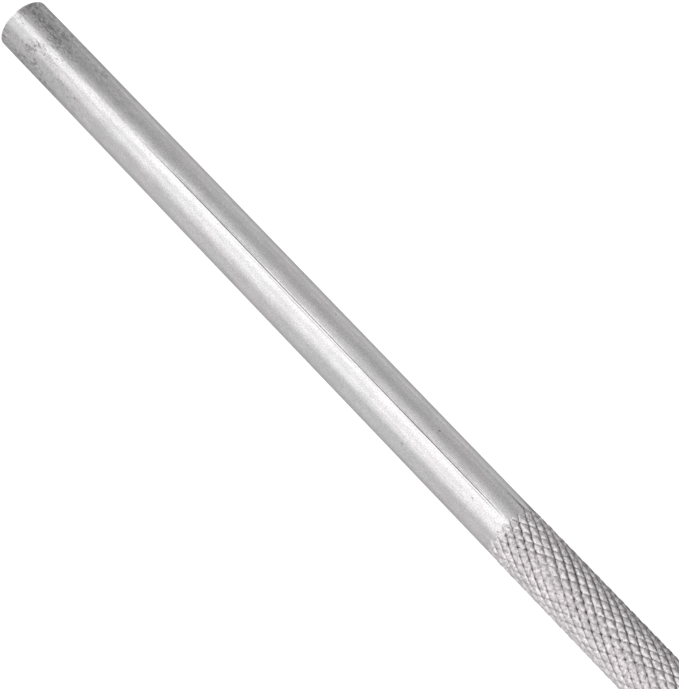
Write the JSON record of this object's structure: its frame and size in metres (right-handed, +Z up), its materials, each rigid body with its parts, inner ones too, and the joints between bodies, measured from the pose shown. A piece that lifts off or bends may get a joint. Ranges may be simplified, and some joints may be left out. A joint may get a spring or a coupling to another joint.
{
  "type": "brick jointer",
  "caption": "Straight round-bar brick jointer with a diamond-knurled grip, a large runner and a pinned smaller runner for striking concave mortar joints.",
  "frame": {"origin": "on the bar's axis, at half the overall length, which is also the middle of the knurled grip", "axes": "+X along the tool towards the small runner's free end; +Z up with the tool lying on a table, and along the spring pin; +Y across"},
  "size_m": [0.4318, 0.013, 0.0128],
  "materials": {
    "bar_steel": "drawn steel, satin, with light handling marks",
    "runner_steel": "drawn steel, satin",
    "pin_steel": "spring steel, darkened"
  },
  "bodies": {
    "root": {"main_bar": "bar_steel", "small_runner": "runner_steel", "spring_pin": "pin_steel"}
  },
  "joints": []
}
